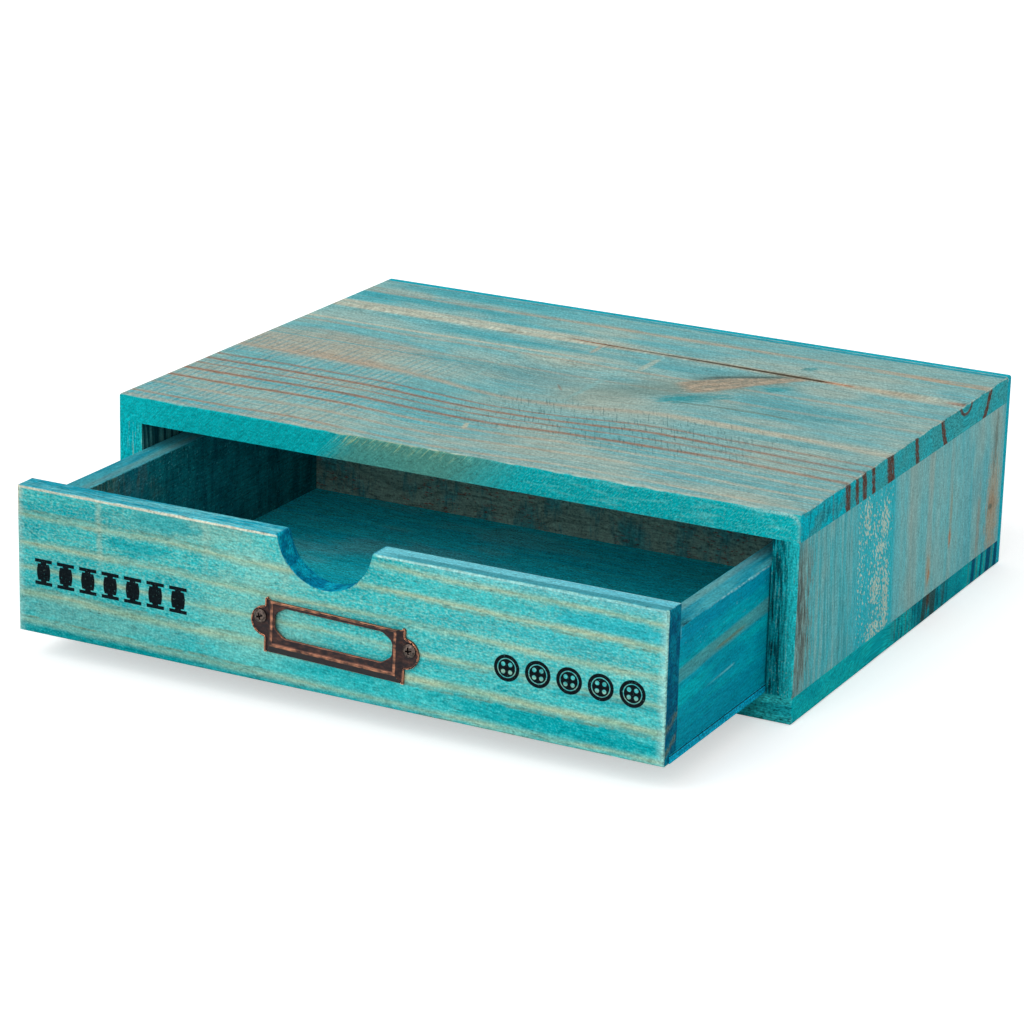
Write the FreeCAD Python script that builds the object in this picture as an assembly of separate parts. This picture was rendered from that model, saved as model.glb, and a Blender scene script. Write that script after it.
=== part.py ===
import FreeCAD, Part
import math
import os
from FreeCAD import Placement, Rotation, Vector

# Thread drawer box: a low pine case with one drawer, standing open by rest_opening.
# Frame: +X to the right as one faces the drawer, +Y to the back, +Z up, in millimetres.
# Origin: the middle of the case's underside.

# Case: top and bottom boards run over the side boards, the thin back covers them all.
case_width = 324.0
case_height = 90.0
board_depth = 236.0
top_thickness = 12.0
bottom_thickness = 12.0
side_thickness = 12.0
back_thickness = 4.0
case_arris = 1.2

# Drawer: a front board, two sides behind it, a back between the sides, a plywood bottom.
drawer_side_gap = 0.7
drawer_lift = 0.2
drawer_top_gap = 1.8
drawer_back_gap = 0.5
rest_opening = 95.0
front_thickness = 11.0
drawer_side_thickness = 12.0
drawer_side_height = 50.9
drawer_back_thickness = 12.0
drawer_arris = 0.9
ply_thickness = 3.5
ply_proud = 0.3
rabbet_depth = 6.0

# Finger scoop: a round notch in the front's upper edge.
scoop_radius = 21.7
scoop_depth = 19.7
scoop_offset = -1.8
scoop_corner = 1.4

# Label holder: pressed sheet with a raised, windowed face, open at the top for a card.
holder_sheet = 0.8
holder_width = 64.4
holder_height = 23.4
holder_centre_x = 3.3
holder_sill = 25.2
holder_tilt = 1.6
holder_margin = 1.2
holder_side_run = 2.2
apron_run = 3.4
apron_foot = 0.6
holder_rise = 2.1
holder_step = 0.8
holder_corner = 1.1
ridge_width = 0.9
ridge_height = 0.35
bead_width = 0.6
bead_height = 0.35
window_side_bar = 1.8
window_lower_bar = 4.2
window_upper_bar = 2.2
window_cut_width = 4.6
window_cut_height = 3.2
window_corner = 3.4
window_bevel = 0.25
ear_radius = 6.4
ear_height = 12.9
ear_blend = 0.8

# Label screws: small cross-head wood screws with a domed head.
screw_spacing = 68.6
screw_above_ear = 1.9
screw_head_radius = 2.9
screw_head_rim = 0.6
screw_head_height = 1.7
screw_shank_radius = 1.2
screw_length = 9.0
screw_point = 2.2
recess_width = 0.8
recess_reach = 1.7
recess_depth = 1.1
recess_taper = 0.25
left_screw_turn = 20.0
right_screw_turn = 8.0

# Fasteners: flat-wire brads punched below the surface, narrow-crown staples driven flush.
wire_width = 1.25
wire_thickness = 1.05
wire_chisel = 1.2
brad_length = 28.0
brad_set = 1.5
staple_crown = 5.8
staple_leg = 14.0
board_end_distance = 22.0
wall_end_distance = 10.0
case_brad_count = 4
wall_brad_count = 2
back_row_staple_count = 6
back_end_staple_count = 2
wall_staple_count = 5
cross_staple_count = 4

fit_gap = 0.02
screw_hole_gap = 0.25

# Worked out from the sizes above.
case_depth = board_depth + back_thickness
half_width = case_width / 2
front_y = -case_depth / 2
rear_y = front_y + board_depth
opening_half = half_width - side_thickness
opening_top = case_height - top_thickness

drawer_half = opening_half - drawer_side_gap
drawer_front_y = front_y - rest_opening
drawer_rear_y = drawer_front_y + board_depth - drawer_back_gap
drawer_base = bottom_thickness + drawer_lift
drawer_top = opening_top - drawer_top_gap
inner_front_y = drawer_front_y + front_thickness
inner_back_y = drawer_rear_y - drawer_back_thickness
inner_half = drawer_half - drawer_side_thickness
drawer_floor = drawer_base + ply_thickness
drawer_wall_top = drawer_floor + drawer_side_height

UP = Vector(0, 0, 1)
BACK = Vector(0, 1, 0)
RIGHT = Vector(1, 0, 0)
SAME = 1e-4


def box(low, high):
    """A block between two opposite corners."""
    size = [b - a for a, b in zip(low, high)]
    return Part.makeBox(*size, Vector(*low))


def prism(corners, sweep):
    """A closed polygon of corners, swept along a vector."""
    points = [Vector(*corner) for corner in corners]
    return Part.Face(Part.makePolygon(points + points[:1])).extrude(sweep)


def spread(start, end, count):
    """Evenly spaced places from start to end."""
    if count == 1:
        return [(start + end) / 2]
    return [start + (end - start) * i / (count - 1) for i in range(count)]


def lies_on(edge, axis, value):
    """Whether both ends and the middle of an edge have this X, Y or Z."""
    ends = [edge.valueAt(edge.FirstParameter), edge.valueAt(edge.LastParameter)]
    ends.append(edge.valueAt((edge.FirstParameter + edge.LastParameter) / 2))
    return all(abs(point[axis] - value) < SAME for point in ends)


def ease(shape, radius, wanted):
    """Round over the edges that wanted picks."""
    edges = [edge for edge in shape.Edges if wanted(edge)]
    return shape.makeFillet(radius, edges)


# ---------------------------------------------------------------- fasteners


def turned(profile):
    """A solid of revolution about Z from (radius, height) points that start and end on the axis."""
    points = [Vector(radius, 0, height) for radius, height in profile]
    face = Part.Face(Part.makePolygon(points + points[:1]))
    return face.revolve(Vector(0, 0, 0), UP, 360)


def brad(gap):
    """A brad below its upper end, or the slot it fills when the gap isn't zero."""
    half = wire_width / 2 + gap
    tip = -brad_length - gap
    outline = [(-half, gap), (half, gap), (half, tip + wire_chisel), (0, tip), (-half, tip + wire_chisel)]
    return flat_wire(outline, gap)


def staple(gap):
    """A staple below its crown's upper face, or the slot it fills when the gap isn't zero."""
    outer = staple_crown / 2 + gap
    inner = staple_crown / 2 - wire_width - gap
    under = -wire_width - gap
    tip = -staple_leg - gap
    shoulder = tip + wire_chisel
    right_leg = [(outer, 0), (outer, shoulder), (inner, tip), (inner, under)]
    left_leg = [(-x, z) for x, z in reversed(right_leg)]
    return flat_wire(right_leg + left_leg, gap)


def flat_wire(outline, gap):
    """An (x, z) outline given the wire's thickness."""
    half = wire_thickness / 2 + gap
    return prism([(x, -half, z) for x, z in outline], BACK * 2 * half)


class Fasteners:
    """A group of like fasteners and the slots that they fill in the wood.

    Each run gives the places of the heads, the way they are driven and the way their wide side lies.
    """

    def __init__(self, make, runs):
        self.solids = self.place(make(0.0), runs)
        self.slots = self.place(make(fit_gap), runs)

    def place(self, model, runs):
        copies = []
        for places, driven, along in runs:
            turn = Rotation(along, Vector(), -driven, "ZXY")
            for place in places:
                copy = model.copy()
                copy.Placement = Placement(Vector(*place), turn)
                copies.append(copy)
        return copies

    def part(self):
        return Part.makeCompound(self.solids)


side_centre = half_width - side_thickness / 2
case_rows = spread(front_y + board_end_distance, rear_y - board_end_distance, case_brad_count)
top_places = [(s * side_centre, y, case_height - brad_set) for s in (-1, 1) for y in case_rows]
bottom_places = [(s * side_centre, y, brad_set) for s in (-1, 1) for y in case_rows]
top_brads = Fasteners(brad, [(top_places, -UP, BACK)])
bottom_brads = Fasteners(brad, [(bottom_places, UP, BACK)])

back_face_y = rear_y + back_thickness
back_reach = half_width - board_end_distance
back_columns = spread(-back_reach, back_reach, back_row_staple_count)
back_heights = [case_height - top_thickness / 2, bottom_thickness / 2]
back_long_places = [(x, back_face_y, z) for x in back_columns for z in back_heights]
middle_heights = spread(bottom_thickness, opening_top, back_end_staple_count + 2)[1:-1]
back_end_places = [(s * side_centre, back_face_y, z) for s in (-1, 1) for z in middle_heights]
back_staples = Fasteners(staple, [(back_long_places, -BACK, RIGHT), (back_end_places, -BACK, UP)])

drawer_side_centre = drawer_half - drawer_side_thickness / 2
wall_rows = spread(drawer_floor + wall_end_distance, drawer_wall_top - wall_end_distance, wall_brad_count)
front_places = [(s * drawer_side_centre, drawer_front_y + brad_set, z) for s in (-1, 1) for z in wall_rows]
front_brads = Fasteners(brad, [(front_places, BACK, UP)])

back_centre_y = drawer_rear_y - drawer_back_thickness / 2
brad_reach = drawer_half - brad_set
left_places = [(-brad_reach, back_centre_y, z) for z in wall_rows]
right_places = [(brad_reach, back_centre_y, z) for z in wall_rows]
rear_brads = Fasteners(brad, [(left_places, RIGHT, UP), (right_places, -RIGHT, UP)])

rabbet_centre_y = inner_front_y - rabbet_depth / 2
wall_ends = (inner_front_y + board_end_distance, inner_back_y - board_end_distance)
bottom_rows = spread(*wall_ends, wall_staple_count)
bottom_reach = inner_half - board_end_distance
bottom_columns = spread(-bottom_reach, bottom_reach, cross_staple_count)
along_places = [(s * drawer_side_centre, y, drawer_base) for s in (-1, 1) for y in bottom_rows]
across_places = [(x, y, drawer_base) for x in bottom_columns for y in (rabbet_centre_y, back_centre_y)]
bottom_staples = Fasteners(staple, [(along_places, UP, BACK), (across_places, UP, RIGHT)])

# --------------------------------------------------------------------- case


def case_board(low, high, outer_z):
    """A board across the case, eased along its outer face and its two front corners."""
    board = box(low, high)

    def outer_edge(edge):
        front_or_end = not lies_on(edge, 1, rear_y)
        upright = lies_on(edge, 1, front_y) and (lies_on(edge, 0, low[0]) or lies_on(edge, 0, high[0]))
        return front_or_end and (lies_on(edge, 2, outer_z) or upright)

    return ease(board, case_arris, outer_edge)


def top_board():
    low = (-half_width, front_y, opening_top)
    high = (half_width, rear_y, case_height)
    return case_board(low, high, case_height).cut(top_brads.slots + back_staples.slots)


def bottom_board():
    low = (-half_width, front_y, 0)
    high = (half_width, rear_y, bottom_thickness)
    return case_board(low, high, 0).cut(bottom_brads.slots + back_staples.slots)


def side_board(side):
    """A side board between top and bottom, eased at its outer front corner."""
    across = sorted((side * opening_half, side * half_width))
    board = box((across[0], front_y, bottom_thickness), (across[1], rear_y, opening_top))
    board = ease(board, case_arris, lambda e: lies_on(e, 1, front_y) and lies_on(e, 0, side * half_width))
    return board.cut(top_brads.slots + bottom_brads.slots + back_staples.slots)


def back_panel():
    """The thin back over the rear ends of all four boards, eased like them."""
    panel = box((-half_width, rear_y, 0), (half_width, back_face_y, case_height))

    def corner(edge):
        sideways = lies_on(edge, 0, -half_width) or lies_on(edge, 0, half_width)
        endways = lies_on(edge, 2, 0) or lies_on(edge, 2, case_height)
        return sideways and endways

    return ease(panel, case_arris, corner).cut(back_staples.slots)


# ------------------------------------------------------------------- drawer

holder_place = Vector(holder_centre_x, drawer_front_y, holder_sill)
holder_turn = Placement(holder_place, Rotation(BACK, holder_tilt))
screw_height = ear_height + screw_above_ear


def runs_through(edge):
    """Whether an edge runs straight from front to back."""
    return abs(edge.tangentAt(edge.FirstParameter).y) > 1 - SAME


def at_drawer_end(edge):
    return lies_on(edge, 0, -drawer_half) or lies_on(edge, 0, drawer_half)


def scoop_lip(edge):
    return runs_through(edge) and lies_on(edge, 2, drawer_top) and not at_drawer_end(edge)


def front_board_arris(edge):
    """The rim of the front face, the two upper end corners and the upper edge at the back."""
    at_back = lies_on(edge, 1, inner_front_y)
    if at_back:
        return not at_drawer_end(edge) and not lies_on(edge, 2, drawer_base)
    upper_end = runs_through(edge) and at_drawer_end(edge) and lies_on(edge, 2, drawer_top)
    return upper_end or lies_on(edge, 1, drawer_front_y)


def drawer_front():
    """The front board: eased outline, finger scoop, rabbet for the bottom, fastener slots and screw holes."""
    board = box((-drawer_half, drawer_front_y, drawer_base), (drawer_half, inner_front_y, drawer_top))
    scoop_centre = Vector(scoop_offset, drawer_front_y, drawer_top - scoop_depth + scoop_radius)
    board = board.cut(Part.makeCylinder(scoop_radius, front_thickness, scoop_centre, BACK))

    board = ease(board, scoop_corner, scoop_lip)
    board = ease(board, drawer_arris, front_board_arris)
    rabbet_low = (-drawer_half, inner_front_y - rabbet_depth, drawer_base)
    board = board.cut(box(rabbet_low, (drawer_half, inner_front_y, drawer_floor)))
    return board.cut(front_brads.slots + bottom_staples.slots + label_screw_holes())


def drawer_side(side):
    """A side wall behind the front, standing on the plywood."""
    across = sorted((side * inner_half, side * drawer_half))
    low = (across[0], inner_front_y, drawer_floor)
    wall = box(low, (across[1], drawer_rear_y, drawer_wall_top))

    def free_top_edge(edge):
        return lies_on(edge, 2, drawer_wall_top) and not lies_on(edge, 1, inner_front_y)

    wall = ease(wall, drawer_arris, free_top_edge)
    return wall.cut(front_brads.slots + rear_brads.slots + bottom_staples.slots)


def drawer_back():
    """The back wall, let in between the two sides."""
    wall = box((-inner_half, inner_back_y, drawer_floor), (inner_half, drawer_rear_y, drawer_wall_top))

    def long_top_edge(edge):
        along = lies_on(edge, 1, inner_back_y) or lies_on(edge, 1, drawer_rear_y)
        return along and lies_on(edge, 2, drawer_wall_top)

    return ease(wall, drawer_arris, long_top_edge).cut(rear_brads.slots + bottom_staples.slots)


def drawer_bottom():
    """The plywood under the walls; its front edge lies in the front board's rabbet."""
    reach = drawer_half + ply_proud
    low = (-reach, inner_front_y - rabbet_depth, drawer_base)
    return box(low, (reach, drawer_rear_y, drawer_floor)).cut(bottom_staples.slots)


# ------------------------------------------------- label holder and screws
# Drawn with its bottom centre at the origin and its back on the plane y = 0, facing -Y.

holder_half = holder_width / 2
face_height = holder_rise + ridge_height
panel_half = holder_half - holder_margin
panel_top = holder_height - holder_step
face_half = panel_half - holder_side_run
window_half = face_half - window_side_bar
window_low = apron_run + window_lower_bar
window_high = panel_top - window_upper_bar


def sloped_block(side_foot, side_run, low_foot, low_run, foot_rise, low_rise, height, top):
    """A flat-topped block with sloping ends and a sloping lower edge that meet in mitres."""
    ends = [(-side_foot, 0, 0), (-side_foot, -foot_rise, 0), (-side_foot + side_run, -height, 0),
            (side_foot - side_run, -height, 0), (side_foot, -foot_rise, 0), (side_foot, 0, 0)]
    if foot_rise == 0:
        ends = [ends[0]] + ends[2:4] + [ends[5]]
    lower = [(-side_foot, 0, low_foot), (-side_foot, -low_rise, low_foot),
             (-side_foot, -height, low_foot + low_run), (-side_foot, -height, top), (-side_foot, 0, top)]
    if low_rise == 0:
        lower.pop(1)
    return prism(ends, UP * top).common(prism(lower, RIGHT * 2 * side_foot))


def raised_face():
    """The outside of the raised part: sloping sides, sloping apron and a recessed flat face."""
    block = sloped_block(panel_half, holder_side_run, 0, apron_run, holder_sheet, apron_foot,
                         face_height, panel_top)
    half = face_half - ridge_width
    low = apron_run + ridge_width
    high = panel_top - ridge_width
    rings = []
    for inset, rise in ((0, face_height), (ridge_height, holder_rise)):
        corners = [(-half + inset, -rise, low + inset), (half - inset, -rise, low + inset),
                   (half - inset, -rise, high - inset), (-half + inset, -rise, high - inset)]
        points = [Vector(*corner) for corner in corners]
        rings.append(Part.makePolygon(points + points[:1]))
    return block.cut(Part.makeLoft(rings, True, True))


def card_pocket():
    """The hollow behind the raised face, one sheet thickness inside it and open at the top."""
    depth = holder_rise - holder_sheet
    side_ratio = holder_side_run / (face_height - holder_sheet)
    low_ratio = apron_run / (face_height - apron_foot)
    side_wall = holder_sheet * math.hypot(1, side_ratio) - holder_sheet * side_ratio
    low_wall = holder_sheet * math.hypot(1, low_ratio) - apron_foot * low_ratio
    return sloped_block(panel_half - side_wall, side_ratio * depth, low_wall, low_ratio * depth,
                        0, 0, depth, holder_height + holder_step)


def window():
    """The window, with its four corners cut and rounded."""
    cut_x = window_half - window_cut_width
    cut_low = window_low + window_cut_height
    cut_high = window_high - window_cut_height
    right = [(cut_x, window_low), (window_half, cut_low), (window_half, cut_high), (cut_x, window_high)]
    left = [(-x, z) for x, z in reversed(right)]
    hole = prism([(x, 0, z) for x, z in right + left], -BACK * face_height)
    return ease(hole, window_corner, runs_through)


def flange_and_ear():
    """The right-hand flange and its screw ear, with a bead along their outer edge."""
    blank = box((panel_half, -holder_sheet, 0), (holder_half, 0, holder_height))
    ear = Part.makeCylinder(ear_radius, holder_sheet, Vector(holder_half, 0, ear_height), -BACK)
    outside = box((panel_half, -holder_sheet, 0), (holder_half + ear_radius, 0, holder_height))
    blank = blank.fuse(ear.common(outside)).removeSplitter()

    def upright(edge, height):
        return lies_on(edge, 0, holder_half) and lies_on(edge, 2, height)

    blank = ease(blank, holder_corner, lambda e: upright(e, holder_height))
    notches = (ear_height - ear_radius, ear_height + ear_radius)
    blank = ease(blank, ear_blend, lambda e: any(upright(e, z) for z in notches))
    outer = max((f for f in blank.Faces if abs(f.CenterOfMass.y + holder_sheet) < SAME), key=lambda f: f.Area)
    inside = outer.makeOffset2D(-bead_width).extrude(-BACK * bead_height)
    beside_slope = box((panel_half, -holder_sheet - bead_height, bead_width),
                       (holder_half - bead_width, -holder_sheet, holder_height - bead_width))
    bead = outer.extrude(-BACK * bead_height).cut([inside, beside_slope])
    return blank.fuse(bead).removeSplitter()


def label_holder():
    """The whole pressed holder, set on the drawer front."""
    right = flange_and_ear()
    left = right.mirror(Vector(0, 0, 0), RIGHT)
    holder = raised_face().fuse([left, right])
    screw_hole = screw_shank_radius + screw_hole_gap
    holes = [Part.makeCylinder(screw_hole, holder_sheet + bead_height,
                               Vector(s * screw_spacing / 2, 0, screw_height), -BACK) for s in (-1, 1)]
    holder = holder.cut([card_pocket(), window()] + holes).removeSplitter()
    holder = holder.makeChamfer(window_bevel, window_front_edges(holder))
    holder.Placement = holder_turn
    return holder


def window_front_edges(holder):
    """The window's edges on the recessed face."""

    def around_window(edge):
        middle = edge.CenterOfMass
        beside = abs(middle.x) < window_half + SAME
        between = window_low - SAME < middle.z < window_high + SAME
        return lies_on(edge, 1, -holder_rise) and beside and between

    return [edge for edge in holder.Edges if around_window(edge)]


def label_screw(side, angle):
    """A domed cross-head screw through an ear, seated on the sheet, its cross turned by an angle."""
    seat = holder_sheet
    rim = seat + screw_head_rim
    crown = seat + screw_head_height
    sag = crown - rim
    dome = (screw_head_radius ** 2 + sag ** 2) / (2 * sag)
    middle_radius = screw_head_radius * 0.6
    middle_height = crown - dome + math.sqrt(dome ** 2 - middle_radius ** 2)
    arc_points = [(0, crown), (middle_radius, middle_height), (screw_head_radius, rim)]
    arc = Part.Arc(*[Vector(radius, 0, height) for radius, height in arc_points])
    tip = seat - screw_length
    below = [(screw_head_radius, rim), (screw_head_radius, seat), (screw_shank_radius, seat),
             (screw_shank_radius, tip + screw_point), (0, tip), (0, crown)]
    points = [Vector(radius, 0, height) for radius, height in below]
    outline = Part.Wire([arc.toShape()] + [Part.makeLine(a, b) for a, b in zip(points, points[1:])])
    screw = Part.Face(outline).revolve(Vector(0, 0, 0), UP, 360)
    screw = screw.cut(cross_recess(crown))
    stand = Placement(Vector(side * screw_spacing / 2, 0, screw_height), Rotation(UP, -BACK))
    turn = Placement(Vector(0, 0, 0), Rotation(UP, angle))
    screw.Placement = holder_turn.multiply(stand).multiply(turn)
    return screw


def cross_recess(crown):
    """Two crossing slots that narrow towards their floor."""
    slots = []
    for quarter in (0, 90):
        rings = []
        for inset, height in ((-recess_taper, crown + recess_taper), (recess_taper, crown - recess_depth)):
            x = recess_reach - 2 * inset
            y = recess_width / 2 - inset / 2
            points = [Vector(*p, height) for p in ((-x, -y), (x, -y), (x, y), (-x, y))]
            rings.append(Part.makePolygon(points + points[:1]))
        slot = Part.makeLoft(rings, True, True)
        slot.rotate(Vector(0, 0, 0), UP, quarter)
        slots.append(slot)
    return slots


def label_screw_holes():
    """The pilot holes that the screws fill in the front board."""
    holes = []
    radius = screw_shank_radius + fit_gap
    depth = screw_length - holder_sheet
    shoulder = depth - screw_point
    for side in (-1, 1):
        hole = turned([(0, 0), (radius, 0), (radius, -shoulder - fit_gap), (0, -depth - fit_gap)])
        hole.Placement = Placement(Vector(side * screw_spacing / 2, 0, screw_height), Rotation(UP, -BACK))
        hole.Placement = holder_turn.multiply(hole.Placement)
        holes.append(hole)
    return holes


# ------------------------------------------------------------------- export

parts = {
    "top_board": top_board(),
    "bottom_board": bottom_board(),
    "left_side_board": side_board(-1),
    "right_side_board": side_board(1),
    "back_panel": back_panel(),
    "top_board_brads": top_brads.part(),
    "bottom_board_brads": bottom_brads.part(),
    "back_panel_staples": back_staples.part(),
    "drawer_front": drawer_front(),
    "drawer_left_side": drawer_side(-1),
    "drawer_right_side": drawer_side(1),
    "drawer_back": drawer_back(),
    "drawer_bottom": drawer_bottom(),
    "drawer_front_brads": front_brads.part(),
    "drawer_back_brads": rear_brads.part(),
    "drawer_bottom_staples": bottom_staples.part(),
    "label_holder": label_holder(),
    "label_screw_left": label_screw(-1, left_screw_turn),
    "label_screw_right": label_screw(1, right_screw_turn),
}

os.makedirs("parts", exist_ok=True)
for name, shape in parts.items():
    shape.exportStep(f"parts/{name}.step")
    print(f"{name}: {len(shape.Solids)} solids, {shape.Volume / 1000:.2f} cc, valid {shape.isValid()}")
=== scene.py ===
from math import cos, radians, tau

import bmesh
import bpy
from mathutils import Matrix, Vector, noise


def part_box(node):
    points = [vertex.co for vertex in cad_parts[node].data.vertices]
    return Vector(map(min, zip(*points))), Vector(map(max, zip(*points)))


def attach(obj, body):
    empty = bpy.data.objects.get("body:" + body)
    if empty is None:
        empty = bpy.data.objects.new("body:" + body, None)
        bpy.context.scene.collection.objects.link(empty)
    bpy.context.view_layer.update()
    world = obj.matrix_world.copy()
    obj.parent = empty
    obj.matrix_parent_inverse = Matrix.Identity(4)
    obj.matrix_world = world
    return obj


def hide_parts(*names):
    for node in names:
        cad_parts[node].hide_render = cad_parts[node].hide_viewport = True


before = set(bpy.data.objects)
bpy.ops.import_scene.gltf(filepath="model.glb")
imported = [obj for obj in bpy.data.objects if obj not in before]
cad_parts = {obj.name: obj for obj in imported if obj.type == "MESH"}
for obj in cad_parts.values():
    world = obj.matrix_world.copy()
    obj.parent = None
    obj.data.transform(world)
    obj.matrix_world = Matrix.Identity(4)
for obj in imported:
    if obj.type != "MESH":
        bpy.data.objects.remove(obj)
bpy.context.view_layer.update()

MM = 0.001


# ---- Top board --------------------------------------------------------------
# A wide flat-sawn pine board with a spike knot, laid over the two sides. It was
# planed, stained blue-green, rubbed back until the growth rings showed, and its
# free arrises were rounded with sandpaper. The left front kept its saw marks.

def finer(node, name, pitch):
    """The node's own solid, cut by a grid so that wear can be worked into its surface."""
    mesh = bmesh.new()
    mesh.from_mesh(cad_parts[node].data)
    bmesh.ops.remove_doubles(mesh, verts=mesh.verts, dist=0.001 * MM)
    bmesh.ops.dissolve_limit(mesh, angle_limit=radians(1), verts=mesh.verts, edges=mesh.edges)
    low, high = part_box(node)
    for axis in range(3):
        cuts = round((high[axis] - low[axis]) / MM / pitch)
        across = Vector([float(axis == other) for other in range(3)])
        for cut in range(1, cuts):
            place = low[axis] + (high[axis] - low[axis]) * cut / cuts
            bmesh.ops.bisect_plane(mesh, geom=mesh.verts[:] + mesh.edges[:] + mesh.faces[:],
                                   dist=0.01 * MM, plane_co=across * place, plane_no=across)
    data = bpy.data.meshes.new(name)
    mesh.to_mesh(data)
    mesh.free()
    data.shade_smooth()
    data.set_sharp_from_angle(angle=radians(35))
    piece = bpy.data.objects.new(name, data)
    bpy.context.scene.collection.objects.link(piece)
    return piece


def sand(piece, depth, lump, joints):
    """Rubs a board's free arrises back unevenly, always inwards; (axis, place) joints stay as sawn."""
    reach = 6
    corners = [[vertex.co[axis] / MM for vertex in piece.data.vertices] for axis in range(3)]
    low, high = [min(places) for places in corners], [max(places) for places in corners]
    rubbed = []
    for vertex in piece.data.vertices:
        spot = vertex.co / MM
        inset = sorted(min(spot[axis] - low[axis], high[axis] - spot[axis]) for axis in range(3))
        free = min([abs(spot[axis] - place) / reach for axis, place in joints] + [1])
        nearness = free * max(0, 1 - inset[1] / reach) ** 2
        hollow = 0.5 + 0.6 * noise.noise(spot / lump) + 0.1 * noise.noise(spot / lump * 4)
        rubbed.append(vertex.co - vertex.normal * nearness * max(0, hollow) * depth * MM)
    for vertex, spot in zip(piece.data.vertices, rubbed):
        vertex.co = [MM * max(low[axis], min(high[axis], spot[axis] / MM)) for axis in range(3)]


class Value:
    """One output of a finish's nodes. Arithmetic on it adds Math nodes."""

    def __init__(self, finish, socket):
        self.finish = finish
        self.socket = socket

    def math(self, operation, *numbers):
        return self.finish.add("ShaderNodeMath", {"operation": operation}, numbers)

    def __add__(self, other):
        return self.math("ADD", self, other)

    def __sub__(self, other):
        return self.math("SUBTRACT", self, other)

    def __rsub__(self, other):
        return self.math("SUBTRACT", other, self)

    def __mul__(self, other):
        return self.math("MULTIPLY", self, other)

    def __truediv__(self, other):
        return self.math("DIVIDE", self, other)

    __radd__ = __add__
    __rmul__ = __mul__

    def size(self):
        return self.math("ABSOLUTE", self)

    def wave(self):
        return self.math("SINE", self)

    def least(self, other):
        return self.math("MINIMUM", self, other)

    def most(self, other):
        return self.math("MAXIMUM", self, other)

    def away(self, other):
        """How far the two lie from nothing together, as the sides of a right angle do."""
        return self.math("SQRT", self * self + other * other)

    def rise(self, start, end):
        """0 before start, 1 after end, eased between; it falls where start is past end."""
        return self.finish.add("ShaderNodeMapRange", {"interpolation_type": "SMOOTHSTEP"},
                               {"Value": self, "From Min": start, "From Max": end})

    def hump(self, middle, half, edge):
        """1 within half of the middle, easing off to 0 over the edge."""
        return (self - middle).size().rise(half + edge, half)


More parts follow.
